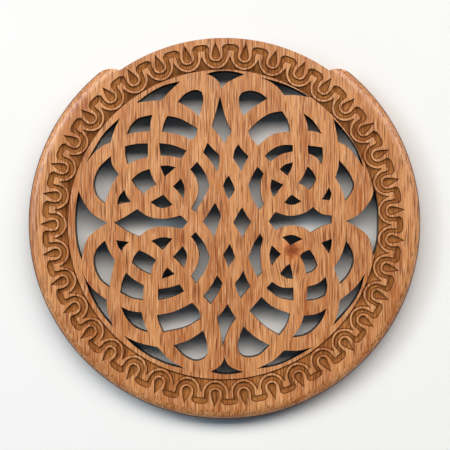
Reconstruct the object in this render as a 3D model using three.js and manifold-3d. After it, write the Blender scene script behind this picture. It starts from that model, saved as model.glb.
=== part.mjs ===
// A wooden cover for the sound hole of an acoustic guitar. It tames feedback and dresses the hole.
//
// Two laser-cut plates are glued face to face. The face plate lies on the guitar's top by its lip, which is
// cut back where the end of the fingerboard comes up to the hole. The plug plate drops into the hole, and a
// foam strip round its edge holds it there by friction. The same knotwork is pierced through both plates.
//
// +Z points out of the face and +Y towards the fingerboard. The origin is the centre of the plug plate's
// underside. All sizes are in millimetres.

import * as THREE from 'three';
import { mergeVertices } from 'three/addons/utils/BufferGeometryUtils.js';
import Module from 'manifold-3d';

const wasm = await Module();
wasm.setup();

// The guitar that the cover fits.
const soundHoleDiameter = 100;
const fingerboardWidth = 57;

// The face plate and its lip.
const faceThickness = 3;
const lipWidth = 3.5; // how far the lip reaches over the guitar's top
const lipLeftAtFingerboard = 0.4; // what is left of the lip along the fingerboard's end
const lipEndRadius = 6; // the rounded ends of the lip, beside the fingerboard
const shoulderWidth = 3; // the lip's rounded upper edge, measured across
const shoulderDrop = 2.2; // and measured down

// The plug plate and the foam strip round it.
const plugThickness = 3.2;
const ringWidth = 7.8; // solid wood left round the knotwork
const stripThickness = 1.4;
const stripSqueeze = 0.3; // what the hole's wall presses out of the strip
const stripSetback = 0.4; // how far the strip stops above the plug's underside
const stripSeam = 0.8; // the gap where the strip's two ends meet
const glueLine = 0.1;

// How finely round edges are cut into flats.
const circleSteps = 144;
const arcStepsAtLeast = 5;
const shoulderSteps = 5;
const curveStep = 1.2; // length of one flat along the knotwork's curves
const drawnRadius = 41; // the radius at which the knotwork is drawn below
const overcut = 1; // how far a cutter passes the faces that it cuts

const soundHoleRadius = soundHoleDiameter / 2;
const lipRadius = soundHoleRadius + lipWidth;
const cutBackRadius = soundHoleRadius + lipLeftAtFingerboard;
const stripOuterRadius = soundHoleRadius + stripSqueeze;
const stripInnerRadius = stripOuterRadius - stripThickness;
const plugRadius = stripInnerRadius - glueLine;
const knotworkRadius = plugRadius - ringWidth;
const faceTop = plugThickness + faceThickness;

// The knotwork, as the openings between its strands. A plain point is a corner of an opening. A point marked
// bend is one that a curved side runs through. The strands cross, split and rejoin by eye, and no two
// quarters of the cover are quite alike.
const bend = true;

const gapsAtRim = [
  [[-5, 40.6], [-2.5, 41.3, bend], [0.3, 41.5, bend], [3, 41.2, bend], [5.5, 40.5], [2.4, 39.2, bend],
    [0.2, 37.9, bend], [-0.8, 36.6], [-1.6, 38.4, bend], [-3, 39.8, bend]],
  [[9.4, 39.8], [15.3, 38.2, bend], [20, 36.2, bend], [23.4, 34.2], [19.8, 34.8, bend], [16.2, 34.8],
    [14.6, 36.9, bend], [12.2, 38.6, bend]],
  [[29.6, 28.5], [32.8, 25, bend], [36, 20.4, bend], [37.9, 15.1], [35.3, 18.7, bend], [33.4, 20.8, bend],
    [31, 22.1], [30.4, 25, bend]],
  [[40.8, 9.9], [39.8, 6.4, bend], [36.8, 2.6, bend], [33, 0.6], [36.5, -1.3, bend], [39.3, -4, bend],
    [40.5, -9], [41.7, -5, bend], [42, 0, bend], [41.8, 5, bend]],
  [[38.3, -13.5], [35.6, -17.4, bend], [31.3, -21], [30.8, -24.4, bend], [29.6, -27.8],
    [33.2, -23.9, bend], [36.6, -19, bend]],
  [[24.1, -33.6], [20.3, -34.6, bend], [16.2, -34.6], [13.3, -37.3, bend], [8.8, -39.6],
    [14.2, -38.7, bend], [19.4, -36.4, bend]],
  [[0, -36.4], [0.8, -38.3, bend], [2.6, -39.6, bend], [5.3, -40.4], [2.6, -41, bend], [-0.8, -41.1, bend],
    [-3.8, -40.4], [-1.6, -39.2, bend], [-0.6, -38, bend]],
  [[-27.4, -30.6], [-23.3, -32.5, bend], [-18.1, -33.7], [-15.3, -36.8, bend], [-10.8, -39.6],
    [-15.6, -38.4, bend], [-20.6, -36.1, bend], [-24.5, -33.4, bend]],
  [[-38.4, -14.1], [-36, -17.7, bend], [-32, -20.9], [-31.7, -24.4, bend], [-30.2, -28.3],
    [-33.2, -24.9, bend], [-36.2, -20, bend]],
  [[-39.7, 9], [-38.4, 5.9, bend], [-35.7, 2.4, bend], [-31.8, 0.1], [-34.9, -1.9, bend],
    [-37.5, -4.6, bend], [-38.9, -10], [-40.2, -5.6, bend], [-40.7, 0, bend], [-40.4, 5, bend]],
  [[-38, 15.8], [-35.4, 20.4, bend], [-32.6, 24.7, bend], [-28.3, 28.8], [-29.9, 25.5, bend],
    [-31, 21.9], [-33.3, 21, bend], [-35.7, 18.9, bend]],
  [[-24, 32.8], [-20.2, 35.6, bend], [-16.2, 37.6, bend], [-12, 38.6], [-14.9, 35.9, bend],
    [-17.1, 33.4], [-20.4, 33.2, bend]],
];

const spine = [
  [[-1.2, 34.7], [-0.2, 30.4, bend], [0.8, 27.4, bend], [2, 25], [0.9, 23.5, bend], [0, 21.7],
    [-1.6, 24, bend], [-3.5, 26.3], [-2.5, 29.8, bend]],
  [[3.8, 21.5], [5, 19.8, bend], [6.6, 18.2], [5.5, 16.3, bend], [4.6, 14.1], [3.4, 16.1, bend],
    [2.3, 17.8], [2.8, 20, bend]],
  [[-5.8, 19.3], [-4.6, 21.9], [-3.1, 20.2, bend], [-1.4, 18.6], [-1.4, 16.3, bend], [-2.1, 14.1],
    [-3.6, 16.7, bend]],
  [[1.1, 13], [2.1, 11.2, bend], [2.9, 9.1], [2.1, 7.7, bend], [1.1, 6.4], [0.3, 8.2, bend],
    [-0.4, 10.2], [0.3, 11.8, bend]],
  [[-5.9, 0.4], [-4.3, 2.8, bend], [-2.6, 5.6], [-1.6, 3.7, bend], [-0.9, 2], [-1.9, -0.9, bend],
    [-2.8, -3.7], [-4.1, -1.7, bend]],
  [[2.4, 0.2], [3.5, 2.3, bend], [4.8, 4.4], [6, 2.2, bend], [7.3, 0.4], [6, -1.8, bend], [4.9, -4],
    [3.7, -1.9, bend]],
  [[1.4, -5.6], [2.3, -7.4, bend], [2.9, -9.4], [2, -10.6, bend], [1, -12.2], [0.4, -10.3, bend],
    [-0.4, -8.6], [0.5, -7.2, bend]],
  [[5.2, -12.7], [5.9, -14.9, bend], [7.1, -17.1], [5.7, -18.9, bend], [4.4, -20.4], [3.4, -18.6, bend],
    [2.9, -16.2], [4.2, -14.6, bend]],
  [[-2, -14.1], [-0.5, -16.3], [-1.8, -19.3, bend], [-3.8, -22], [-5.8, -19.8], [-3.8, -17.3, bend]],
  [[0.8, -21.9], [1.9, -23.9, bend], [3.2, -25.9], [1.2, -28.8, bend], [-0.7, -33.8],
    [-1.1, -29.6, bend], [-2.1, -25.6], [-0.5, -24, bend]],
];

const betweenWhorls = [
  [[-30, 0.2], [-27, 1.8, bend], [-23.7, 3.9], [-20.8, 1.9, bend], [-16.6, 1.2, bend], [-11.9, 2.1],
    [-10, 0.4], [-11.5, -1.5], [-15.8, -0.9, bend], [-19.9, -1.3, bend], [-23.3, -3.6],
    [-26.6, -2.1, bend]],
  [[12, 0.5], [13.8, 3.1], [17.6, 2, bend], [21.5, 2.7, bend], [24.1, 4.4], [26.3, 2.6, bend],
    [29.2, 2.1], [29.2, 0], [26.4, -0.9, bend], [23.6, -2.5], [21, -1, bend], [17.4, -0.6, bend],
    [13.9, -1.9]],
];

const upperLeftWhorl = [
  [[-12.7, 33], [-10.9, 35.1, bend], [-8.3, 36.3, bend], [-6.3, 35.8, bend], [-5.8, 33.5, bend],
    [-6.9, 29.1], [-9.7, 31.4, bend]],
  [[-26.6, 24.2], [-25.5, 26.6, bend], [-23.4, 28.6, bend], [-19.6, 29.5], [-20.1, 27.3, bend],
    [-20.3, 25], [-23.4, 24.8, bend]],
  [[-17, 24.9], [-16.5, 27.2, bend], [-15.5, 29.2], [-11.9, 28.4, bend], [-7.4, 25.8],
    [-7.7, 24.2, bend], [-8.7, 22.6], [-12.6, 24.1, bend]],
  [[-27, 21], [-24, 21.6, bend], [-20.8, 21.7], [-20.8, 18], [-23.5, 17.3, bend], [-26.4, 16.1],
    [-27, 18.5, bend]],
  [[-17.8, 21.8], [-14.2, 21.3, bend], [-10.3, 19.8], [-11.7, 17.6], [-14.4, 18.2, bend], [-17.4, 18.4]],
  [[-30.9, 18.3], [-30.5, 15.8, bend], [-28.7, 13.3], [-30.4, 10.8, bend], [-32.6, 5.4],
    [-34.9, 7.6, bend], [-35.6, 11.3, bend], [-34.1, 15.2, bend]],
  [[-25.3, 11.8], [-23.2, 13.7, bend], [-20.3, 14.8], [-19.7, 12.6, bend], [-18.4, 10.5],
    [-20.3, 9.6, bend], [-21.9, 8], [-24.2, 10, bend]],
  [[-17.5, 15.6], [-15.4, 15.7, bend], [-13.3, 15.2], [-16.3, 12.6]],
  [[-11.8, 12.2], [-14, 10], [-12.3, 8.3, bend], [-11.1, 6.7], [-10.8, 9.5, bend]],
  [[-20.1, 5.8], [-18.5, 6.7, bend], [-16.6, 7.8], [-15.5, 6.5, bend], [-14.1, 5.1], [-15.6, 4.3, bend],
    [-17.8, 4.2, bend]],
  [[-29.2, 5.1], [-28.7, 7.3, bend], [-27.2, 9.1], [-26.6, 7.4, bend], [-25.4, 5.8], [-27.2, 5.5, bend]],
  [[-9.3, 14.7], [-7.4, 16.7], [-5.2, 13.6, bend], [-4, 10], [-6, 6.2, bend], [-8, 3], [-9.1, 4.1],
    [-7.5, 7, bend], [-7.1, 10, bend], [-7.8, 12.5, bend]],
];

const upperRightWhorl = [
  [[5.1, 29.2], [4, 32, bend], [4.2, 35, bend], [6.7, 36.1, bend], [9.6, 35.5, bend], [11.7, 33.9],
    [8.3, 31.8, bend]],
  [[6.4, 25], [9.2, 27.9, bend], [12.4, 29.9, bend], [15.7, 30.5], [17.2, 28, bend], [17.9, 25],
    [13.2, 24.2, bend], [9.1, 21.1], [7.2, 23.3, bend]],
  [[21.4, 30], [24.2, 27.8, bend], [26.5, 24.3], [24.6, 25, bend], [22.7, 25.1], [22.4, 27.4, bend]],
  [[10.9, 18.3], [13.2, 20.3, bend], [16, 21.3, bend], [18.6, 21.2], [18.6, 19.5], [15.6, 18.8, bend],
    [12.5, 16.8]],
  [[22.6, 21.2], [26.7, 20.6], [26.8, 18, bend], [26.3, 15.9], [25.1, 17.8, bend], [22.7, 19.1]],
  [[31.2, 17.2], [33.6, 14.3, bend], [35.3, 10.6, bend], [34.4, 8, bend], [32.9, 6.1], [31.9, 9.3, bend],
    [30.1, 12.5], [30.9, 14.8, bend]],
  [[22.6, 15.5], [24, 14.1, bend], [25, 12.1], [24.2, 10.3, bend], [23.1, 9.1], [21.7, 10.1, bend],
    [20.1, 10.9], [21.4, 12.8, bend]],
  [[15, 14.7], [16.5, 16, bend], [18.7, 16.6], [18.1, 14.6, bend], [17.1, 12.9]],
  [[12.8, 12], [16, 10.5], [14.5, 8.6, bend], [13.3, 7], [12.5, 9.5, bend]],
  [[16.3, 5.6], [17.2, 6.8, bend], [18.3, 7.8], [20.9, 6], [19.3, 5.1, bend], [17.6, 5, bend]],
  [[28.4, 9.9], [29.1, 8, bend], [28.6, 6.2], [26.4, 6.5], [27.5, 8, bend]],
  [[9, 15.4], [10.7, 13.5], [9.9, 11.4, bend], [10, 7.7, bend], [10.7, 5], [9.4, 3.6], [7.6, 6.6, bend],
    [6.5, 10.4], [7.7, 13.3, bend]],
];

const lowerLeftWhorl = [
  [[-13.8, -33.2], [-9.6, -31.7, bend], [-5.8, -29.2], [-4.8, -32.3, bend], [-4.8, -36, bend],
    [-7.6, -37.5, bend], [-10.9, -36.2, bend]],
  [[-28.1, -22.7], [-25.4, -23.9, bend], [-22.5, -24.2], [-21.9, -26.9, bend], [-20.8, -29.7],
    [-24.2, -28.4, bend], [-26.8, -25.8, bend]],
  [[-18.4, -25], [-13.6, -24, bend], [-8.8, -21.6], [-6.9, -23.8, bend], [-6.5, -26],
    [-10.9, -28.4, bend], [-16.7, -29.7], [-17.8, -27.3, bend]],
  [[-26.8, -13.4], [-24.6, -15.3, bend], [-21.9, -16.9], [-22.2, -20.9], [-25.3, -20.4, bend],
    [-28.4, -18.8], [-27.8, -15.7, bend]],
  [[-18.1, -17.9], [-15.2, -17.5, bend], [-12.2, -16.6], [-10.9, -18.5], [-14, -20, bend], [-18, -20.9]],
  [[-32.5, -4.7], [-31.5, -7.3, bend], [-29.8, -10.1], [-30.6, -13.7, bend], [-31.3, -17.4],
    [-34, -15.2, bend], [-35.6, -11, bend], [-34.9, -7.2, bend]],
  [[-23.2, -7.3], [-20.7, -8.5, bend], [-18.6, -10], [-19.6, -11.9, bend], [-20.1, -14],
    [-22.9, -12.6, bend], [-25.2, -10.8], [-24.5, -8.8, bend]],
  [[-15.5, -12], [-13.6, -13.8], [-15.3, -14.6, bend], [-17.1, -15.1], [-16.6, -13.4, bend]],
  [[-11.4, -6.2], [-10.1, -8.7, bend], [-11, -12.3], [-12.3, -10.7, bend], [-14, -9.2]],
  [[-20, -4.8], [-17, -3.8, bend], [-14.1, -4.2], [-15.4, -5.7, bend], [-16.8, -7.3], [-18.3, -6, bend]],
  [[-29.4, -4.6], [-25.9, -5.1], [-27.2, -6.2, bend], [-28, -7.6], [-29, -6.2, bend]],
  [[-9.1, -3.6], [-7.9, -2.4], [-5.5, -5.4, bend], [-3.9, -9.3], [-5.4, -13.2, bend], [-7.9, -16.4],
    [-9.1, -14.4], [-7.5, -11.5, bend], [-6.9, -8.5, bend], [-7.7, -5.6, bend]],
];

const lowerRightWhorl = [
  [[5.1, -28], [8.2, -30.8, bend], [12.3, -33.2], [9.4, -35.9, bend], [6.2, -36.5, bend],
    [4.2, -35.6, bend], [3.6, -32.6, bend]],
  [[10.1, -20], [13.1, -22.7, bend], [17.9, -24.6], [17, -27.6, bend], [15, -30.5], [11, -28.1, bend],
    [6.8, -23.8]],
  [[27.8, -23.2], [24.9, -24.7, bend], [21.6, -25.1], [20.6, -28, bend], [18.4, -31.1],
    [22.6, -30.2, bend], [26.1, -27, bend]],
  [[12.9, -15.9], [15.5, -17.4, bend], [18.7, -17.5], [18.8, -21], [14.8, -20.2, bend], [11.4, -17.7]],
  [[22.6, -17.2], [25.4, -16.4, bend], [27.5, -14.5], [28, -17.2, bend], [27.4, -19.7],
    [25.2, -20.7, bend], [22.2, -21.1]],
  [[33.1, -4.7], [34.7, -7.3, bend], [35.2, -10.5, bend], [33.8, -14, bend], [31.5, -16.5],
    [30.6, -14.4, bend], [29.8, -12.2], [31.8, -8.6, bend]],
  [[20.5, -8.9], [21.5, -7.8, bend], [23.2, -7.2], [24.4, -9, bend], [25.3, -11.4], [24.3, -12.9, bend],
    [22.1, -13.8], [21.7, -11.3, bend]],
  [[17.7, -11], [18.4, -13, bend], [18.6, -15.2], [16.7, -14.9, bend], [15.1, -13.8],
    [16.2, -12.2, bend]],
  [[12.9, -6], [15.4, -8.4], [14.1, -9.8, bend], [12.9, -11.6], [12.2, -8.8, bend]],
  [[15.7, -3.8], [18.4, -3.1, bend], [21.3, -4.3], [19.6, -5.1, bend], [18, -6.1], [17, -4.9, bend]],
  [[26.3, -5.3], [29.2, -4.2], [29.1, -6.3, bend], [28.3, -8.3], [27.4, -6.7, bend]],
  [[9.7, -2.8], [10.5, -4.2], [9.8, -7.4, bend], [9.9, -10.6, bend], [10.3, -13.4], [9, -14.8],
    [7.7, -12.2, bend], [6.5, -9.2], [7.9, -5.6, bend]],
];

const openings = [
  ...gapsAtRim, ...spine, ...betweenWhorls,
  ...upperLeftWhorl, ...upperRightWhorl, ...lowerLeftWhorl, ...lowerRightWhorl,
];

// A geometry as a solid that can be joined and cut. Triangles that a pole squeezes to nothing are dropped.
function solidFrom(geometry) {
  geometry.deleteAttribute('normal');
  geometry.deleteAttribute('uv');
  const merged = mergeVertices(geometry, 1e-4);
  const corners = merged.index.array;
  const kept = [];
  for (let i = 0; i < corners.length; i += 3) {
    const [a, b, c] = corners.slice(i, i + 3);
    if (a !== b && b !== c && c !== a) kept.push(a, b, c);
  }
  const mesh = new wasm.Mesh({
    numProp: 3,
    vertProperties: new Float32Array(merged.attributes.position.array),
    triVerts: new Uint32Array(kept),
  });
  return new wasm.Manifold(mesh);
}

function geometryFrom(solid) {
  const mesh = solid.getMesh();
  const geometry = new THREE.BufferGeometry();
  geometry.setAttribute('position', new THREE.BufferAttribute(mesh.vertProperties, 3));
  geometry.setIndex(new THREE.BufferAttribute(mesh.triVerts, 1));
  return geometry;
}

// A flat shape as a slab between two heights.
function slab(shape, bottom, top) {
  const settings = { depth: top - bottom, bevelEnabled: false };
  return new THREE.ExtrudeGeometry(shape, settings).translate(0, 0, bottom);
}

// The outline of one opening. Sides between two corners are straight unless they run through bends.
function outlineOf(opening, scale) {
  const closed = [...opening, opening[0]];
  const outline = [];
  let side = [];
  for (const [x, y, isBend] of closed) {
    side.push(new THREE.Vector2(x * scale, y * scale));
    if (isBend || side.length === 1) continue;
    const curve = new THREE.SplineCurve(side);
    const flats = side.length === 2 ? 1 : Math.max(2, Math.ceil(curve.getLength() / curveStep));
    outline.push(...curve.getSpacedPoints(flats).slice(0, -1));
    side = [side.at(-1)];
  }
  return new THREE.Shape(outline);
}

const knotworkScale = knotworkRadius / drawnRadius;
const openingSolids = openings.map((opening) => {
  const shape = outlineOf(opening, knotworkScale);
  return solidFrom(slab(shape, -overcut, faceTop + overcut));
});
const knotworkGaps = wasm.Manifold.union(openingSolids);

// Points along an arc, both ends included.
function arc(centre, radius, from, to) {
  const turn = Math.abs(to - from);
  const flats = Math.max(arcStepsAtLeast, Math.ceil((turn / (2 * Math.PI)) * circleSteps));
  return Array.from({ length: flats + 1 }, (_, i) => {
    const angle = from + ((to - from) * i) / flats;
    return new THREE.Vector2(Math.cos(angle), Math.sin(angle)).multiplyScalar(radius).add(centre);
  });
}

// What is cut off the lip beside the fingerboard, seen from above: up to an arc just outside the hole, and
// round the lip's two ends, which run smoothly into its outer edge.
function fingerboardNotch() {
  const middle = new THREE.Vector2(0, 0);
  const upright = Math.PI / 2;
  const sideAngle = Math.asin(fingerboardWidth / 2 / cutBackRadius);
  const endCentreRadius = lipRadius - lipEndRadius;
  const cosine = (endCentreRadius ** 2 + cutBackRadius ** 2 - lipEndRadius ** 2)
    / (2 * endCentreRadius * cutBackRadius);
  const endAngle = sideAngle + Math.acos(cosine); // from the fingerboard's middle to a lip end's centre
  const [rightEnd, leftEnd] = [upright - endAngle, upright + endAngle];
  const rightCentre = new THREE.Vector2(Math.cos(rightEnd), Math.sin(rightEnd)).multiplyScalar(endCentreRadius);
  const leftCentre = new THREE.Vector2(-rightCentre.x, rightCentre.y);
  const corner = new THREE.Vector2(Math.sin(sideAngle), Math.cos(sideAngle)).multiplyScalar(cutBackRadius);
  const inward = corner.sub(rightCentre).angle(); // from a lip end's centre to the corner that it ends in

  return new THREE.Shape([
    ...arc(rightCentre, lipEndRadius, rightEnd, inward),
    ...arc(middle, cutBackRadius, upright - sideAngle, upright + sideAngle).slice(1),
    ...arc(leftCentre, lipEndRadius, Math.PI - inward, leftEnd).slice(1),
    ...arc(middle, lipRadius + overcut, leftEnd, rightEnd),
  ]);
}

// The disc that the face plate is cut from, with its rounded shoulder.
function shoulderedDisc() {
  const profile = [new THREE.Vector2(0, 0), new THREE.Vector2(lipRadius, 0)];
  for (let i = 0; i <= shoulderSteps; i += 1) {
    const turn = (i / shoulderSteps) * (Math.PI / 2);
    const across = lipRadius - shoulderWidth * (1 - Math.cos(turn));
    const up = faceThickness - shoulderDrop * (1 - Math.sin(turn));
    profile.push(new THREE.Vector2(across, up));
  }
  profile.push(new THREE.Vector2(0, faceThickness));
  return new THREE.LatheGeometry(profile, circleSteps).rotateX(Math.PI / 2).translate(0, 0, plugThickness);
}

function facePlate() {
  const notch = solidFrom(slab(fingerboardNotch(), plugThickness - overcut, faceTop + overcut));
  return geometryFrom(solidFrom(shoulderedDisc()).subtract(notch).subtract(knotworkGaps));
}

function plugPlate() {
  const disc = new THREE.Shape(arc(new THREE.Vector2(0, 0), plugRadius, 0, 2 * Math.PI).slice(1));
  return geometryFrom(solidFrom(slab(disc, 0, plugThickness)).subtract(knotworkGaps));
}

// The strip starts and ends at the fingerboard side, with a small seam between its ends.
function foamStrip() {
  const half = stripSeam / 2 / stripInnerRadius;
  const start = Math.PI / 2 + half;
  const end = Math.PI / 2 - half + 2 * Math.PI;
  const middle = new THREE.Vector2(0, 0);
  const strip = new THREE.Shape([
    ...arc(middle, stripOuterRadius, start, end),
    ...arc(middle, stripInnerRadius, end, start),
  ]);
  return slab(strip, stripSetback, plugThickness);
}

const mahoganyFace = new THREE.MeshStandardMaterial({ color: 0xc98a55, roughness: 0.5, metalness: 0 });
const mahoganyPlug = new THREE.MeshStandardMaterial({ color: 0xb97a48, roughness: 0.65, metalness: 0 });
const blackFoam = new THREE.MeshStandardMaterial({ color: 0x1c1c1d, roughness: 0.95, metalness: 0 });

function part(name, geometry, material) {
  const mesh = new THREE.Mesh(geometry, material);
  mesh.name = name;
  return mesh;
}

const cover = new THREE.Group();
cover.add(part('face_plate', facePlate(), mahoganyFace));
cover.add(part('plug_plate', plugPlate(), mahoganyPlug));
cover.add(part('foam_strip', foamStrip(), blackFoam));

export default cover;
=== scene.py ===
# %% [markdown]
# # A pierced and engraved wooden cover for a guitar's sound hole
#
# The cover is two thin mahogany plates, glued face to face. The upper one has a rounded lip that rests on
# the guitar's top, and a band of laser engraving. The lower one drops into the hole, with a strip of black
# foam round its edge. The same knotwork is cut through both. The solids are loaded first, as a fixed frame.
# This script then makes the surface that the eye sees: the soft shoulder of the lip, the engraving, and the
# wood.

# %% Load the solids and measure them
import math

import bpy
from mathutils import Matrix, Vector


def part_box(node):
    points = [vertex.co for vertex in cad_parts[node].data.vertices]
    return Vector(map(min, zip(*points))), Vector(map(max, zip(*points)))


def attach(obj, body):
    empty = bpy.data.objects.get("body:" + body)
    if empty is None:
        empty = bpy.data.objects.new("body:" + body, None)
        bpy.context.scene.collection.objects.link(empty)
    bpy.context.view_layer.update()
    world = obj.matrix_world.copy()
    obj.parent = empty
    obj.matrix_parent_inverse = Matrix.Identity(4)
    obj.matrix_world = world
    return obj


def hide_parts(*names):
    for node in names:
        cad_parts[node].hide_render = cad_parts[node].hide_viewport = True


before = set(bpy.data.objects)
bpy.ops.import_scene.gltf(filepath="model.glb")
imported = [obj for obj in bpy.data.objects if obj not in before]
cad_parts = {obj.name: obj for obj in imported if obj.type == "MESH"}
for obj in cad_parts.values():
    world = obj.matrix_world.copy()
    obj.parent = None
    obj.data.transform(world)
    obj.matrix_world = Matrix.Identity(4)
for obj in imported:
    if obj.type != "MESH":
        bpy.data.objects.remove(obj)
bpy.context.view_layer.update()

MM = 0.001

face_low, face_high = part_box("face_plate")
plug_low, plug_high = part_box("plug_plate")
foam_low, foam_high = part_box("foam_strip")
LIP_RADIUS = face_high[0]
CUT_BACK_RADIUS = face_high[1]
PLUG_RADIUS = plug_high[0]
FOAM_RADIUS = foam_high[0]
FACE_BOTTOM, FACE_TOP = face_low[2], face_high[2]
PLUG_BOTTOM, PLUG_TOP = plug_low[2], plug_high[2]
print(f"lip {LIP_RADIUS / MM:.1f} mm, cut back {CUT_BACK_RADIUS / MM:.1f} mm, plug {PLUG_RADIUS / MM:.1f} mm")

# %% [markdown]
# ## A few helpers
#
# Blender's operators act on whatever is selected, so each step first selects exactly what it is about. Most
# of these helpers do only that: they select one object, or the faces or edges that a step is meant for. The
# others add a plain disc, apply a modifier and shade the result. Booleans stand for the laser here, since
# both only ever take wood away.

# %% Helpers for selecting and cutting
WELD_DISTANCE = 0.0005 * MM
DISC_SIDES = 288
SMOOTH_UP_TO = math.radians(35)
FLAT_FACE_WEIGHT = 80


def only_nothing():
    bpy.ops.object.select_all(action="DESELECT")


def only(piece):
    only_nothing()
    piece.select_set(True)
    bpy.context.view_layer.objects.active = piece


def named(name):
    """Names what an operator has just added."""
    piece = bpy.context.object
    piece.name = name
    piece.data.name = name
    return piece


def settle(piece):
    """Moves the object's place, turn and size into its mesh, so that the object itself is at the origin."""
    only(piece)
    bpy.ops.object.transform_apply(location=True, rotation=True, scale=True)


def in_edit_mode(piece, mode, wanted, *steps):
    """Selects the faces or edges that are wanted, and runs each step on them in edit mode."""
    only(piece)
    bpy.ops.object.mode_set(mode="EDIT")
    bpy.ops.mesh.select_mode(type=mode)
    bpy.ops.mesh.select_all(action="DESELECT")
    bpy.ops.object.mode_set(mode="OBJECT")
    parts = piece.data.polygons if mode == "FACE" else piece.data.edges
    chosen = 0
    for part in parts:
        part.select = bool(wanted(part))
        chosen += part.select
    bpy.ops.object.mode_set(mode="EDIT")
    for step in steps:
        step()
    bpy.ops.object.mode_set(mode="OBJECT")
    return chosen


def every(part):
    return True


def none(part):
    return False


def select_all():
    bpy.ops.mesh.select_all(action="SELECT")


def merge_doubles():
    bpy.ops.mesh.remove_doubles(threshold=WELD_DISTANCE)


def face_outwards():
    bpy.ops.mesh.normals_make_consistent(inside=False)


def apply_modifier(piece, kind, **settings):
    only(piece)
    modifier = piece.modifiers.new(kind.title(), kind)
    for name, value in settings.items():
        setattr(modifier, name, value)
    bpy.ops.object.modifier_apply(modifier=modifier.name)


def cut(piece, cutter, keep_cutter=False):
    """Takes the cutter away from the piece. The walls that it leaves have the cutter's own finish."""
    apply_modifier(piece, "BOOLEAN", operation="DIFFERENCE", object=cutter, solver="EXACT",
                   material_mode="TRANSFER")
    if not keep_cutter:
        bpy.data.meshes.remove(cutter.data)


def disc(name, radius, bottom, top, material, centre=(0, 0), sides=DISC_SIDES):
    only_nothing()
    bpy.ops.mesh.primitive_cylinder_add(
        vertices=sides, radius=radius, depth=top - bottom, location=(*centre, (bottom + top) / 2))
    piece = named(name)
    settle(piece)
    piece.data.materials.append(material)
    return piece


def smooth(piece):
    """Shades gentle bends smoothly. Weighted normals keep large flat faces flat right up to a rounding."""
    only(piece)
    bpy.ops.object.shade_smooth_by_angle(angle=SMOOTH_UP_TO)
    apply_modifier(piece, "WEIGHTED_NORMAL", keep_sharp=True, weight=FLAT_FACE_WEIGHT)


def triangles(piece):
    return sum(len(face.vertices) - 2 for face in piece.data.polygons)


only_nothing()
print("everything is deselected,", len(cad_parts), "CAD nodes loaded")

# %% [markdown]
# ## Colours and nodes
#
# Colours are written as the sRGB hex values that a colour picker shows, and one function turns them into the
# linear values that the renderer adds up. One helper adds a node, sets it and links it, so that a material
# reads as a list of what lies on what.

# %% Helpers for colours and nodes


def colour(code):
    channels = [int(code[i:i + 2], 16) / 255 for i in (1, 3, 5)]
    linear = [c / 12.92 if c <= 0.04045 else ((c + 0.055) / 1.055) ** 2.4 for c in channels]
    return (*linear, 1)


def add_node(tree, kind, inputs, **settings):
    """Adds a node with its settings. Each of its inputs takes a value, or a link from another node."""
    node = tree.nodes.new("ShaderNode" + kind)
    for name, value in settings.items():
        setattr(node, name, value)
    for socket, value in inputs.items():
        if isinstance(value, bpy.types.NodeSocket):
            tree.links.new(value, node.inputs[socket])
        else:
            node.inputs[socket].default_value = value
    return node


def new_material(name, values):
    """A material with its principled shader, whose sockets take the values that are constant all over."""
    material = bpy.data.materials.new(name)
    material.use_nodes = True
    shader = material.node_tree.nodes["Principled BSDF"]
    for socket, value in values.items():
        shader.inputs[socket].default_value = value
    return material, material.node_tree, shader


print("colour and node helpers are ready")

# %% [markdown]
# ## Mahogany
#
# The plates are cut from plain-sawn mahogany, an open-pored, orange-brown wood. Its fibres all run along +Y,
# towards the fingerboard, so every pattern is stretched along Y. In one place they bow out round a pin knot,
# the foot of a small twig. Every pattern starts from the same bowed coordinates, so that pores and fibres go
# round the knot together.

# %% The run of the fibres
PIN_KNOT_AT = (18.4 * MM, -7.4 * MM, 0)
BOW_WIDTH, BOW_LENGTH = 9.0, 13.0
BOW_STRENGTH = -0.55
CORE_SHARE = 0.2


def from_knot(tree, place):
    return add_node(tree, "VectorMath", {0: place, 1: PIN_KNOT_AT}, operation="SUBTRACT").outputs[0]


def near_knot(tree, place, width, length, height=1.0):
    """A mask that is highest on the pin knot and fades out at this width and length from it, in mm."""
    reach = (1 / (width * MM), 1 / (length * MM), 0)
    away = from_knot(tree, place)
    away = add_node(tree, "VectorMath", {0: away, 1: reach}, operation="MULTIPLY").outputs[0]
    distance = add_node(tree, "VectorMath", {0: away}, operation="LENGTH").outputs["Value"]
    return add_node(
        tree, "MapRange", {"Value": distance, "From Min": CORE_SHARE, "To Min": height, "To Max": 0.0},
        interpolation_type="SMOOTHSTEP").outputs[0]


def along_grain(tree):
    """Object coordinates, with the fibres bowed out to pass the pin knot on both sides."""
    place = add_node(tree, "TexCoord", {}).outputs["Object"]
    bow = near_knot(tree, place, BOW_WIDTH, BOW_LENGTH, BOW_STRENGTH)
    sideways = add_node(
        tree, "VectorMath", {0: from_knot(tree, place), 1: (1, 0, 0)}, operation="MULTIPLY").outputs[0]
    shift = add_node(tree, "VectorMath", {0: sideways, "Scale": bow}, operation="SCALE").outputs[0]
    return add_node(tree, "VectorMath", {0: place, 1: shift}, operation="ADD").outputs[0]


print(f"pin knot at x {PIN_KNOT_AT[0] / MM:.1f} mm, y {PIN_KNOT_AT[1] / MM:.1f} mm")

# %% [markdown]
# ## Bands, fibres, pores and flecks
#
# Four things make the wood look like mahogany and not like brown plastic: broad bands that differ a little
# in tone, fine fibres, dark pores cut open by the sander, and bright flecks between them. Each is a noise
# whose streaks are about as wide and as long as the real ones. A picture of wood would be quicker to put on,
# but it would stretch over the rounded shoulder, while these patterns run right through the piece as the
# grain does.

# %% Mahogany grain
UNDER, OVER, RESULT = 6, 7, 2  # the Mix node's sockets for colours
FIBRE_RELIEF = 0.35
WOBBLE_SIZE = 1.2 * MM
WOBBLE_REACH = 3 * MM


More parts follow.
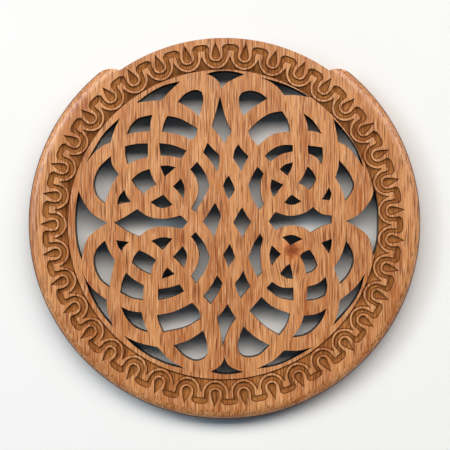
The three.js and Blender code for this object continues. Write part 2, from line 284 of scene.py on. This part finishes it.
def streaks(tree, width, length, shift, low, high, detail=2.0):
    """A mask of streaks, sized in millimetres: 0 where the noise is below low, 1 where it is above high."""
    scale = (1 / (width * MM), 1 / (length * MM), 1 / (width * MM))
    place = add_node(tree, "Mapping", {
        "Vector": along_grain(tree), "Scale": scale, "Location": (shift, shift, shift)}).outputs[0]
    noise = add_node(tree, "TexNoise", {
        "Vector": place, "Scale": 1.0, "Detail": detail, "Roughness": 0.55}).outputs[0]
    return add_node(tree, "MapRange", {"Value": noise, "From Min": low, "From Max": high}).outputs[0]


def laid_over(tree, under, over, mask, strength=1.0):
    """The colour under, with the colour over on top of it where the mask is 1, as far as strength lets it."""
    share = add_node(tree, "Math", {0: mask, 1: strength}, operation="MULTIPLY").outputs[0]
    return add_node(tree, "Mix", {0: share, UNDER: under, OVER: over}, data_type="RGBA").outputs[RESULT]


def mahogany_grain(tree, dark, light, pore, fleck):
    """The wood's colour, and a height for its open pores and fibres."""
    bands = streaks(tree, width=5.0, length=70.0, shift=11.0, low=0.32, high=0.68)
    fibres = streaks(tree, width=0.45, length=14.0, shift=3.0, low=0.36, high=0.64, detail=3.0)
    pores = streaks(tree, width=0.26, length=7.5, shift=7.0, low=0.56, high=0.62, detail=1.0)
    flecks = streaks(tree, width=0.36, length=5.0, shift=19.0, low=0.5, high=0.66)
    tone = add_node(tree, "Math", {0: bands, 1: fibres}, operation="ADD").outputs[0]
    wood = laid_over(tree, colour(dark), colour(light), tone, strength=0.5)
    wood = laid_over(tree, wood, colour(fleck), flecks, strength=0.42)
    wood = laid_over(tree, wood, colour(pore), pores, strength=0.8)
    height = add_node(tree, "Math", {0: fibres, 1: FIBRE_RELIEF}, operation="MULTIPLY").outputs[0]
    height = add_node(tree, "Math", {0: height, 1: pores}, operation="SUBTRACT").outputs[0]
    return wood, height


def pin_knot(tree, wood):
    """The wood's colour with the pin knot on it: dark orange, with a paler halo and a soft, uneven edge."""
    place = add_node(tree, "TexCoord", {}).outputs["Object"]
    wobble = add_node(tree, "TexNoise", {"Vector": place, "Scale": 1 / WOBBLE_SIZE}).outputs["Color"]
    wobble = add_node(tree, "VectorMath", {0: wobble, 1: (0.5, 0.5, 0.5)}, operation="SUBTRACT").outputs[0]
    wobble = add_node(tree, "VectorMath", {0: wobble, "Scale": WOBBLE_REACH}, operation="SCALE").outputs[0]
    place = add_node(tree, "VectorMath", {0: place, 1: wobble}, operation="ADD").outputs[0]
    halo = near_knot(tree, place, width=4.4, length=4.8)
    core = near_knot(tree, place, width=3.2, length=2.8)
    wood = laid_over(tree, wood, colour("#dc7832"), halo, strength=0.75)
    return laid_over(tree, wood, colour("#8e3e08"), core)


print("the grain is made of bands, fibres, pores and flecks, with one pin knot")

# %% [markdown]
# ## Five finishes for one wood
#
# What was done to the wood sets its finish. The face is sanded fine and oiled. The laser toasts the floors
# of the engraving, scorches their walls, and leaves char where it goes right through. The plug plate is
# sanded and left raw. Three of these show the grain, and have its relief as a bump, because a pore is far
# too fine to model. The two burnt ones have only a fine speckle, coarser than real soot, so that it still
# shows.

# %% The wood's finishes
SPECKLE = 0.5


def with_grain(name, shine, shades, relief, depth, knotted=False):
    """A finish that shows the grain. Its shades are the wood's dark and light tones, its pores and flecks."""
    material, tree, shader = new_material(name, shine)
    wood, height = mahogany_grain(tree, *shades)
    if knotted:
        wood = pin_knot(tree, wood)
    tree.links.new(wood, shader.inputs["Base Color"])
    bump = add_node(tree, "Bump", {"Height": height, "Strength": relief, "Distance": depth})
    tree.links.new(bump.outputs[0], shader.inputs["Normal"])
    return material


def burnt(name, shine, dark, light):
    """A finish that hides the grain under a burnt skin."""
    material, tree, shader = new_material(name, shine)
    speckle = streaks(tree, width=SPECKLE, length=SPECKLE, shift=5.0, low=0.35, high=0.7)
    tree.links.new(laid_over(tree, colour(dark), colour(light), speckle), shader.inputs["Base Color"])
    return material


# Sanded to a fine grit and oiled: a satin sheen, with the pores still open.
SANDED = with_grain(
    "sanded_mahogany", {"Roughness": 0.38, "IOR": 1.5, "Coat Weight": 0.3, "Coat Roughness": 0.25},
    ("#b25e20", "#e8a062", "#7a3606", "#fbc592"), relief=0.35, depth=0.05 * MM, knotted=True)
# The floors of the engraving: the laser leaves them toasted and dry.
ENGRAVED = with_grain(
    "laser_engraved_mahogany", {"Roughness": 0.8, "IOR": 1.45, "Specular IOR Level": 0.2},
    ("#8a4a1c", "#b26e34", "#5e2c0c", "#c4864a"), relief=0.5, depth=0.06 * MM)
# The plug plate: the same wood, sanded but not oiled, so paler and quite matt.
RAW = with_grain(
    "raw_mahogany", {"Roughness": 0.7, "IOR": 1.45},
    ("#a8704a", "#cc9568", "#85522f", "#dba877"), relief=0.5, depth=0.05 * MM)
# The walls that the laser leaves where it goes right through: black char under grey ash, quite dull.
CHARRED = burnt("laser_cut_mahogany", {"Roughness": 0.7, "IOR": 1.45}, "#30261e", "#665749")
# The engraving's walls and the line along their foot: burnt dark red-brown. On the steep foot of the
# plate's outer wall the same colour is painted shade.
SCORCHED_AND_PAINTED_SHADE = burnt(
    "laser_scorched_and_painted_shade_mahogany", {"Roughness": 0.75, "IOR": 1.45, "Specular IOR Level": 0.2},
    "#52280f", "#7a421c")
print("wood finishes:", ", ".join(m.name for m in (SANDED, ENGRAVED, RAW, CHARRED, SCORCHED_AND_PAINTED_SHADE)))

# %% [markdown]
# ## The face plate's outline
#
# The lip's upper edge is rounded over like the edge of a table top, three millimetres across and a little
# over two down. Bevel gives equal distances both ways, so the plate is first stretched in height, bevelled
# with a round profile, and then pressed back, which makes the quarter circle a quarter ellipse. Spinning a
# profile would do as well, but would leave a pole in the middle of the face.

# %% A disc with a rounded shoulder
SHOULDER_WIDTH = 3.0 * MM
SHOULDER_DROP = 2.2 * MM
SHOULDER_SEGMENTS = 10
HEIGHT_TOLERANCE = 0.01 * MM
ROUND_PROFILE = 0.5

face = disc("face_plate_visual", LIP_RADIUS, FACE_BOTTOM, FACE_TOP, SANDED)
stretch = SHOULDER_WIDTH / SHOULDER_DROP


def scale_height(factor, level):
    bpy.ops.transform.resize(value=(1, 1, factor), center_override=(0, 0, level), orient_type="GLOBAL")


def bevel(width, segments, affect="EDGES"):
    bpy.ops.mesh.bevel(
        offset=width, offset_type="OFFSET", segments=segments, profile=ROUND_PROFILE, affect=affect)


def on_top_edge(edge):
    ends = [face.data.vertices[i].co for i in edge.vertices]
    return all(end.z > FACE_BOTTOM + HEIGHT_TOLERANCE for end in ends)


in_edit_mode(face, "FACE", every, lambda: scale_height(stretch, FACE_BOTTOM))
rounded = in_edit_mode(face, "EDGE", on_top_edge, lambda: bevel(SHOULDER_WIDTH, SHOULDER_SEGMENTS))
in_edit_mode(face, "FACE", every, lambda: scale_height(1 / stretch, FACE_BOTTOM))
print(f"rounded {rounded} edges, top at {max(v.co.z for v in face.data.vertices) / MM:.2f} mm")

# %% [markdown]
# ## Where the lip is cut back
#
# The fingerboard ends right at the sound hole, so the lip is cut away there, up to an arc just outside the
# hole, and its two ends are rounded. What has to go is a wedge of the plate, less the disc and the two round
# ends that stay. So the cutter is that wedge, made by slicing a block twice with bisect, with three
# cylinders taken out of it.

# %% Cut the lip back for the fingerboard
FINGERBOARD_WIDTH = 57 * MM
LIP_END_RADIUS = 6 * MM
LIP_END_SIDES = 72
# Cutters reach at least this far past what they cut.
PAST = 1 * MM
BLOCK_MARGIN = 5 * MM

side_angle = math.asin(FINGERBOARD_WIDTH / 2 / CUT_BACK_RADIUS)
end_centre_radius = LIP_RADIUS - LIP_END_RADIUS
end_angle = side_angle + math.acos(
    (end_centre_radius ** 2 + CUT_BACK_RADIUS ** 2 - LIP_END_RADIUS ** 2)
    / (2 * end_centre_radius * CUT_BACK_RADIUS))
end_centres = [
    (side * end_centre_radius * math.sin(end_angle), end_centre_radius * math.cos(end_angle))
    for side in (-1, 1)]

only_nothing()
reach = LIP_RADIUS + BLOCK_MARGIN
bpy.ops.mesh.primitive_cube_add(size=1, location=(0, reach / 2, (FACE_BOTTOM + FACE_TOP) / 2))
notch = named("notch_cutter")
notch.data.materials.append(SANDED)
notch.scale = (2 * reach, reach, FACE_TOP - FACE_BOTTOM + 2 * PAST)
settle(notch)
for side in (-1, 1):
    outward = (side * math.cos(end_angle), -math.sin(end_angle), 0)
    in_edit_mode(notch, "FACE", every, lambda: bpy.ops.mesh.bisect(
        plane_co=(0, 0, 0), plane_no=outward, clear_outer=True, use_fill=True))
staying = [((0, 0), CUT_BACK_RADIUS, DISC_SIDES)]
staying += [(centre, LIP_END_RADIUS, LIP_END_SIDES) for centre in end_centres]
for centre, radius, sides in staying:
    cut(notch, disc("staying", radius, FACE_BOTTOM - 2 * PAST, FACE_TOP + 2 * PAST, SANDED, centre, sides))
cut(face, notch)
print(f"the lip stops {math.degrees(end_angle):.1f} degrees to each side, {len(face.data.polygons)} faces")

# %% [markdown]
# ## The edge that the cut leaves
#
# A perfectly sharp edge catches no light, and looks drawn and not made. Sandpaper breaks it, so the cut's
# upper edge gets a small bevel. Its edges are found by where they lie: on one of the three arcs, not
# upright, and clear of the underside and of the lip's own outline.

# %% Break the edge of the cut
EDGE_BREAK = 0.4 * MM
EDGE_BREAK_SEGMENTS = 3
CLEAR_OF_BOTTOM = 0.5 * MM
END_MARGIN = 0.01
ARC_TOLERANCE = 0.02 * MM
UPRIGHT_SHARE = 0.9


def on_cut_edge(edge):
    """An edge of the cut-back that lies on the flat face or on the shoulder above the cut."""
    ends = [face.data.vertices[i].co for i in edge.vertices]
    middle = (ends[0] + ends[1]) / 2
    too_low = middle.z < FACE_BOTTOM + CLEAR_OF_BOTTOM
    too_far_round = abs(math.atan2(middle.x, middle.y)) > end_angle - END_MARGIN
    upright = abs(ends[0].z - ends[1].z) > UPRIGHT_SHARE * (ends[0] - ends[1]).length
    off_the_arcs = min(abs(math.dist(middle.xy, centre) - radius) for centre, radius, sides in staying)
    return not (too_low or too_far_round or upright) and off_the_arcs < ARC_TOLERANCE


broken = in_edit_mode(face, "EDGE", on_cut_edge, lambda: bpy.ops.mesh.bevel(
    offset=EDGE_BREAK, segments=EDGE_BREAK_SEGMENTS, profile=ROUND_PROFILE, affect="EDGES",
    clamp_overlap=True))
print(f"broke {broken} edges of the cut")

# %% [markdown]
# ## The knotwork's openings
#
# The laser goes through both plates at once, so both have the same openings. The plug plate's solid already
# holds their outlines. Taking a copy of it away from a plain disc leaves just what the laser removed: 72
# little prisms, which then cut both visible plates. A CAD node is never changed, so it is a copy of it that
# is stretched upwards and downwards, far past both plates.

# %% The 72 prisms that the laser removed
KNOTWORK_REACH = 45 * MM
COPY_STRETCH = 6

only(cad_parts["plug_plate"])
bpy.ops.object.duplicate()
around = named("plug_copy")
around.parent = None
in_edit_mode(around, "FACE", every, merge_doubles, lambda: scale_height(COPY_STRETCH, PLUG_TOP / 2))
around.data.materials.clear()
around.data.materials.append(CHARRED)
prisms = disc("laser_cut", KNOTWORK_REACH, PLUG_BOTTOM - 2 * PAST, FACE_TOP + 2 * PAST, CHARRED)
cut(prisms, around)
print(f"{len(prisms.data.polygons)} faces in the openings' prisms")

# %% [markdown]
# ## The engraved band
#
# A band of 37 repeats runs round the face: a drop, a winding channel that passes under each drop and over
# the gap between two, and a three-cornered hollow below. What stands between them is two fine raised lines.
# The band sits 0.6 mm off the centre of the disc, as it does when a blank is put under the laser by hand.
#
# A laser burns darkest along the edge of what it clears. So each recess is cut twice: once to its outline
# with a scorched finish, and again a fifth of a millimetre inside it and a hair deeper, with the toasted
# finish of the floor. What is left of the first cut is the burnt line. The second set of cutters is turned
# slightly, which makes the line wider on one side: that extra width is a painted shadow, where the wall would
# shade the floor.

# %% Where the band lies, and how deep
REPEATS = 37
PITCH = 2 * math.pi / REPEATS
BAND_CENTRE = (-0.5 * MM, -0.35 * MM)
BAND_MIDDLE_RADIUS = 46 * MM
FIRST_DROP = math.radians(4.75)
ENGRAVING_DEPTH = 0.45 * MM
FLOOR_DEPTH = 0.47 * MM
# How far the floors are turned round the band: a painted shadow that widens the burnt line on one side.
PAINTED_SHADOW_LEAN = 0.08 * MM
print(f"one repeat is {PITCH * BAND_MIDDLE_RADIUS / MM:.2f} mm long")

# %% [markdown]
# ## One repeat of the band
#
# Every recess is the same on both sides of an axis, so only half of each outline is written down, as a few
# points that a smooth curve runs through, and the other half is mirrored. The floor's outline comes from the
# same points, moved aside by the width of the burnt line. An offset made by inset would fold over itself in
# the sharp tips.

# %% The outlines, in millimetres
BURNT_LINE = 0.2
BAND_INNER_RADIUS = 42.1
SHARP = True


def at_turn(radius, share):
    """A point at this distance from the band's centre, and this share of the pitch round from the drop."""
    return (radius * math.sin(PITCH * share), radius * math.cos(PITCH * share))


def at_gap(radius):
    return at_turn(radius, 0.5)


# The drop's axis lies along Y, and the band's centre is at the origin. The third value marks a sharp corner.
DROP_HALF = [
    (0, 49.75, SHARP), (0.28, 49.0), (0.7, 48.0), (1.0, 47.0), (1.17, 46.1), (0.88, 45.3), (0, 44.95)]
CHANNEL_OUTER_HALF = [
    (*at_gap(49.12), SHARP), (3.2, 49.02), (2.5, 48.86), (2.03, 48.55), (1.7, 48.1, SHARP), (1.82, 47.3),
    (1.86, 46.3), (1.36, 45.0), (0, 44.46)]
CHANNEL_INNER_HALF = [
    (0, 43.0), (2.09, 43.87), (2.9, 45.4), (2.97, 46.6), (3.2, 47.26), (*at_gap(47.38), SHARP)]
HOLLOW_OUTER_HALF = [
    (0, 42.46), (1.5, 42.8), (2.94, 44.0), (3.54, 45.05), (*at_gap(46.1), SHARP)]
# The hollow's floor has an outline of its own, with the axis of the gap along Y.
HOLLOW_FLOOR_HALF = [
    (0, 45.45, SHARP), (0.12, 45.05), (0.62, 43.97), (1.35, 43.1), (2.2, 42.38, SHARP), (1.1, 42.3),
    (0, 42.31)]


def mirrored(half):
    return [(-point[0], *point[1:]) for point in reversed(half)]


def moved_aside(half, distance):
    """A half outline moved to its right. Its two ends lie on an axis, and move along that axis."""
    moved = []
    last = len(half) - 1
    for i, point in enumerate(half):
        before, after = half[max(i - 1, 0)], half[min(i + 1, last)]
        along = Vector((after[0] - before[0], after[1] - before[1])).normalized()
        aside = Vector((along.y, -along.x))
        if i in (0, last):
            outward = Vector(point[:2]).normalized()
            aside = outward * math.copysign(1, aside.dot(outward))
        moved.append((point[0] + distance * aside.x, point[1] + distance * aside.y, *point[2:]))
    return moved


def drop_outline(inset=0.0):
    half = moved_aside(DROP_HALF, inset)
    return half + mirrored(half)[1:-1]


def channel_outline(inset=0.0):
    outer = moved_aside(CHANNEL_OUTER_HALF, -inset)
    inner = moved_aside(CHANNEL_INNER_HALF, -inset)
    return outer + mirrored(outer)[1:] + mirrored(inner) + inner[1:]


def hollow_outline():
    root = [at_turn(BAND_INNER_RADIUS, share) for share in (0.25, 0, -0.25)]
    end = (*at_gap(BAND_INNER_RADIUS), SHARP)
    return mirrored(HOLLOW_OUTER_HALF) + HOLLOW_OUTER_HALF[1:] + [end, *root, mirrored([end])[0]]


def hollow_floor_outline():
    return HOLLOW_FLOOR_HALF + mirrored(HOLLOW_FLOOR_HALF)[1:-1]


print("points in one repeat:", len(drop_outline()) + len(channel_outline()) + len(hollow_outline()))

# %% [markdown]
# ## From an outline to a cutter
#
# Each outline becomes a flat curve, whose automatic handles round every point that isn't a sharp corner. As
# a mesh it is extruded into a cutter that starts at the recess's floor and ends above the face.

# %% One repeat's cutter
CURVE_FINENESS = 5


def cutter_from(name, outline, finish, depth, turn=0.0):
    """One repeat's cutter, as a solid that reaches from this depth to above the face."""
    flat = bpy.data.curves.new(name, "CURVE")
    flat.dimensions = "2D"
    flat.fill_mode = "BOTH"
    flat.resolution_u = CURVE_FINENESS
    spline = flat.splines.new("BEZIER")
    spline.bezier_points.add(len(outline) - 1)
    spline.use_cyclic_u = True
    for knot, point in zip(spline.bezier_points, outline):
        knot.co = (point[0] * MM, point[1] * MM, 0)
        handle = "VECTOR" if len(point) == 3 else "AUTO"
        knot.handle_left_type = handle
        knot.handle_right_type = handle
    shape = bpy.data.objects.new(name, flat)
    bpy.context.scene.collection.objects.link(shape)
    only(shape)
    bpy.ops.object.convert(target="MESH")
    shape = named(name)
    shape.data.materials.append(finish)
    shape.location = (*BAND_CENTRE, FACE_TOP - depth)
    shape.rotation_euler.z = FIRST_DROP + turn - math.pi / 2
    settle(shape)
    in_edit_mode(
        shape, "FACE", every, merge_doubles,
        lambda: bpy.ops.mesh.extrude_region_move(TRANSFORM_OT_translate={"value": (0, 0, depth + PAST)}),
        select_all, face_outwards)
    return shape


print(f"cutters end {PAST / MM:.0f} mm above the face")

# %% [markdown]
# ## Six sets of cutters
#
# Spin copies each cutter round the band. The channel, its floor and the hollow meet their neighbours, so
# they lose their end faces first, and merging the copies makes each one endless ring. The drops, their
# floors and the hollows' floors stay apart.

# %% Cutters all round the band
PITCH_TOLERANCE = 0.001


def pitches_round(point):
    """How far a point lies round from the first drop's axis, as a share of the pitch."""
    turn = math.atan2(point.y - BAND_CENTRE[1], point.x - BAND_CENTRE[0]) - FIRST_DROP
    return turn / PITCH


def all_round(shape, opened=False, lean=0.0):
    """Copies one repeat round the band. An opened shape loses its two end faces, and joins its copies."""
    def at_an_end(part):
        corners = [shape.data.vertices[i].co for i in part.vertices]
        return all(abs(abs(pitches_round(corner)) - 0.5) < PITCH_TOLERANCE for corner in corners)

    if opened:
        removed = in_edit_mode(shape, "FACE", at_an_end, lambda: bpy.ops.mesh.delete(type="FACE"))
        print(f"{shape.name}: {removed} end faces removed")
    in_edit_mode(
        shape, "FACE", every,
        lambda: bpy.ops.mesh.spin(
            steps=REPEATS - 1, dupli=True, angle=PITCH * (REPEATS - 1),
            center=(*BAND_CENTRE, 0), axis=(0, 0, 1)),
        select_all, merge_doubles,
        lambda: bpy.ops.transform.rotate(
            value=-lean / BAND_MIDDLE_RADIUS, orient_axis="Z", center_override=(*BAND_CENTRE, 0)))
    print(f"{shape.name}: {len(shape.data.polygons)} faces")
    return shape


def joined(first, *others):
    only(first)
    for other in others:
        other.select_set(True)
    bpy.ops.object.join()
    return first


outlines = joined(
    all_round(cutter_from("drops", drop_outline(), SCORCHED_AND_PAINTED_SHADE, ENGRAVING_DEPTH)),
    all_round(cutter_from("channel", channel_outline(), SCORCHED_AND_PAINTED_SHADE, ENGRAVING_DEPTH), opened=True),
    all_round(cutter_from("hollow", hollow_outline(), SCORCHED_AND_PAINTED_SHADE, ENGRAVING_DEPTH), opened=True))
floors = joined(
    all_round(cutter_from("drop_floors", drop_outline(BURNT_LINE), ENGRAVED, FLOOR_DEPTH), lean=PAINTED_SHADOW_LEAN),
    all_round(cutter_from("channel_floor", channel_outline(BURNT_LINE), ENGRAVED, FLOOR_DEPTH),
              opened=True, lean=PAINTED_SHADOW_LEAN),
    all_round(cutter_from("hollow_floors", hollow_floor_outline(), ENGRAVED, FLOOR_DEPTH, turn=PITCH / 2),
              lean=PAINTED_SHADOW_LEAN))

# %% [markdown]
# ## Engrave the face, then cut the knotwork
#
# Each cutter carries its own finish into the wood: scorched for the outlines, toasted for the floors, and
# char for the prisms, which go right through. The engraving comes first, as in the workshop, and the
# openings last. The steep faces under the shoulder and in the cut-back then get the same dark brown: a
# painted shade, for the dark line that the steep edge shows round the outline.

# %% Cut the face plate
SLIVER_SIDES = 4
# How far a face of the outer wall may lean, as its normal's height: under the shoulder, and in the cut-back.
# Steeper faces get the dark brown as painted shade.
SHOULDER_FOOT = 0.5
CUT_BACK_FOOT = 0.75

cut(face, outlines)
cut(face, floors)
cut(face, prisms, keep_cutter=True)
in_edit_mode(face, "FACE", every, lambda: bpy.ops.mesh.dissolve_degenerate(threshold=WELD_DISTANCE))
# A boolean can leave a sliver open where two cuts nearly meet.
in_edit_mode(
    face, "EDGE", none,
    lambda: bpy.ops.mesh.select_non_manifold(),
    lambda: bpy.ops.mesh.fill_holes(sides=SLIVER_SIDES))
finishes = [slot.name for slot in face.data.materials]


def on_outer_wall(part):
    """A sanded face of the plate's outer wall, or of the foot of the shoulder or broken edge above it."""
    distance = part.center.xy.length
    steepest = SHOULDER_FOOT if distance > CUT_BACK_RADIUS else CUT_BACK_FOOT
    sanded = finishes[part.material_index] == SANDED.name
    return sanded and distance > CUT_BACK_RADIUS - EDGE_BREAK and abs(part.normal.z) < steepest


# The steep sanded faces round the outline take the dark brown as painted shade.
outer_wall = [part for part in face.data.polygons if on_outer_wall(part)]
for part in outer_wall:
    part.material_index = finishes.index(SCORCHED_AND_PAINTED_SHADE.name)
smooth(face)
print(f"face plate: {len(outer_wall)} faces of the outer wall are scorched, {triangles(face)} triangles")

# %% [markdown]
# ## The plug plate
#
# The lower plate is a plain disc that drops into the hole, with the same knotwork. Seen through the openings
# it doubles their depth, and seen from below it is what the cover shows. Its lower edge is broken slightly,
# so that it starts into the hole without catching.

# %% Make the plug plate
PLUG_EDGE_BREAK = 0.25 * MM

plug = disc("plug_plate_visual", PLUG_RADIUS, PLUG_BOTTOM, PLUG_TOP, RAW)


def on_plug_rim(edge):
    ends = [plug.data.vertices[i].co for i in edge.vertices]
    return all(end.z < PLUG_BOTTOM + HEIGHT_TOLERANCE for end in ends)


in_edit_mode(plug, "EDGE", on_plug_rim, lambda: bevel(PLUG_EDGE_BREAK, EDGE_BREAK_SEGMENTS))
cut(plug, prisms)
in_edit_mode(plug, "FACE", every, merge_doubles)
smooth(plug)
print("plug plate:", triangles(plug), "triangles")

# %% [markdown]
# ## The foam strip
#
# A strip of black closed-cell foam is glued round the plug and grips the hole's wall. It comes off a roll,
# so it has two ends, which meet on the fingerboard's side. One cross-section is drawn as a plane, its
# corners are rounded, and spin carries it round to just short of a full turn. Spin leaves the two ends open,
# so they are closed afterwards.

# %% Make the foam strip
FOAM_THICKNESS = 1.4 * MM
FOAM_SEAM = 0.8 * MM
FOAM_ROUNDING = 0.25 * MM
FOAM_STEPS = 240
CELL_SIZE = 0.5 * MM
PATCH_SIZE = 4 * MM


def closed_cell_foam():
    """Soft black and quite matt, with cells about half a millimetre wide."""
    material, tree, shader = new_material("closed_cell_foam", {"Roughness": 0.9, "IOR": 1.4})
    place = add_node(tree, "TexCoord", {}).outputs["Object"]
    cells = add_node(tree, "TexVoronoi", {"Vector": place, "Scale": 1 / CELL_SIZE}).outputs["Distance"]
    patches = add_node(tree, "TexNoise", {"Vector": place, "Scale": 1 / PATCH_SIZE}).outputs[0]
    tint = laid_over(tree, colour("#1a1a1b"), colour("#2c2c2d"), cells)
    tint = laid_over(tree, tint, colour("#232323"), patches)
    tree.links.new(tint, shader.inputs["Base Color"])
    bump = add_node(tree, "Bump", {"Height": cells, "Strength": 0.6, "Distance": 0.1 * MM})
    tree.links.new(bump.outputs[0], shader.inputs["Normal"])
    return material


only_nothing()
middle = FOAM_RADIUS - FOAM_THICKNESS / 2
half_seam = FOAM_SEAM / 2 / middle
bpy.ops.mesh.primitive_plane_add(size=1, location=(0, 0, 0))
strip = named("foam_strip_visual")
strip.scale = (FOAM_THICKNESS, foam_high[2] - foam_low[2], 1)
strip.rotation_euler.x = math.pi / 2
strip.location = (middle, 0, (foam_low[2] + foam_high[2]) / 2)
settle(strip)
in_edit_mode(strip, "FACE", every, lambda: bevel(FOAM_ROUNDING, EDGE_BREAK_SEGMENTS, affect="VERTICES"))
strip.rotation_euler.z = math.pi / 2 + half_seam
settle(strip)
in_edit_mode(strip, "FACE", every, lambda: bpy.ops.mesh.spin(
    steps=FOAM_STEPS, angle=2 * math.pi - 2 * half_seam, center=(0, 0, 0), axis=(0, 0, 1)))
in_edit_mode(
    strip, "EDGE", none,
    lambda: bpy.ops.mesh.select_non_manifold(),
    lambda: bpy.ops.mesh.edge_face_add(),
    select_all, face_outwards)
strip.data.materials.append(closed_cell_foam())
smooth(strip)
print("foam strip:", triangles(strip), "triangles")

# %% [markdown]
# ## Riding on the frame
#
# Nothing on this cover moves, so every piece rides on the one body. Each stands for the solid that it was
# made from, which stays in the physical model.

# %% Tie each piece to its solid
for piece, node, slot in (
        (face, "face_plate", "mahogany_face"),
        (plug, "plug_plate", "mahogany_plug"),
        (strip, "foam_strip", "black_foam")):
    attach(piece, "root")
    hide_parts(node)
    print(piece.name, "stands for", node)

# %% [markdown]
# ## The table
#
# The cover lies on its back on white paper. The paper is a piece of the stage, not of the object. It lies a
# hundredth of a millimetre below the plug plate, so that the two don't flicker where they touch.

# %% A sheet of white paper
PAPER_SIZE = 3
PAPER_GAP = 0.01 * MM
CLOUD_SIZE = 30 * MM


def matt_paper():
    """Uncoated, slightly warm white paper, with the faintest cloudiness."""
    material, tree, shader = new_material("matt_paper", {"Roughness": 0.95, "Specular IOR Level": 0.2})
    place = add_node(tree, "TexCoord", {}).outputs["Object"]
    clouds = add_node(tree, "TexNoise", {"Vector": place, "Scale": 1 / CLOUD_SIZE}).outputs[0]
    tree.links.new(laid_over(tree, colour("#faf3eb"), colour("#fdf6ee"), clouds), shader.inputs["Base Color"])
    return material


only_nothing()
bpy.ops.mesh.primitive_plane_add(size=PAPER_SIZE, location=(0, 0, PLUG_BOTTOM - PAPER_GAP))
paper = named("paper")
settle(paper)
paper.data.materials.append(matt_paper())
print(f"paper {PAPER_SIZE} m wide")

# %% [markdown]
# ## The light
#
# A wide, soft panel hangs over the fingerboard's side, more than halfway up to straight above. It makes the
# paper under each opening run from dark at the top to bright at the bottom. A smaller, bluish panel low on
# the left puts a sheen on the rounded lip there. A dim blue surround fills the shadows.

# %% Two panels and a surround
def soft_panel(name, place, width, height, energy, tint=(1, 1, 1)):
    """A rectangular area light that faces the middle of the cover."""
    bpy.ops.object.light_add(type="AREA", location=place)
    panel = named(name)
    panel.data.shape = "RECTANGLE"
    panel.data.size = width
    panel.data.size_y = height
    panel.data.energy = energy
    panel.data.color = tint
    panel.rotation_euler = Vector(place).to_track_quat("Z", "Y").to_euler()


PANEL_DISTANCE, PANEL_ELEVATION = 1.5, math.radians(57)
SIDE_DISTANCE, SIDE_ELEVATION = 1.2, math.radians(38)
SIDE_FORWARD = 0.25
SURROUND_STRENGTH = 0.1

soft_panel("soft_panel", (
    0, PANEL_DISTANCE * math.cos(PANEL_ELEVATION), PANEL_DISTANCE * math.sin(PANEL_ELEVATION)),
    width=4.4, height=0.75, energy=46.5)
soft_panel("side_panel", (
    -SIDE_DISTANCE * math.cos(SIDE_ELEVATION), SIDE_FORWARD, SIDE_DISTANCE * math.sin(SIDE_ELEVATION)),
    width=0.8, height=0.28, energy=4.8, tint=(0.6, 0.82, 1.0))
world = bpy.data.worlds.new("surround")
bpy.context.scene.world = world
world.use_nodes = True
background = world.node_tree.nodes["Background"]
background.inputs["Color"].default_value = colour("#86bcec")
background.inputs["Strength"].default_value = SURROUND_STRENGTH
print("a panel over the fingerboard's side, one low on the left, and a dim blue surround")

# %% [markdown]
# ## The camera
#
# The camera looks straight down, so the cover's outline stays a true circle. It stands 45 cm above the face:
# near enough that the openings' walls show a little towards the edge, and far enough that they stay narrow.

# %% Look straight down
CAMERA_DISTANCE = 0.45
FRAME_WIDTH = 122.4 * MM
AIM = (0.147 * MM, -0.484 * MM)
SENSOR_WIDTH = 36.0
NEAREST_SEEN = 0.01

bpy.ops.object.camera_add(location=(*AIM, FACE_TOP + CAMERA_DISTANCE), rotation=(0, 0, 0))
camera = bpy.context.object
camera.data.sensor_width = SENSOR_WIDTH
camera.data.lens = SENSOR_WIDTH * CAMERA_DISTANCE / FRAME_WIDTH
camera.data.clip_start = NEAREST_SEEN
bpy.context.scene.camera = camera
bpy.context.scene.view_settings.view_transform = "Standard"
print(f"camera {CAMERA_DISTANCE / MM:.0f} mm above the face, lens {camera.data.lens:.0f} mm")

# %% [markdown]
# ## Finish
#

# %% Finish
print("the scene is finished")
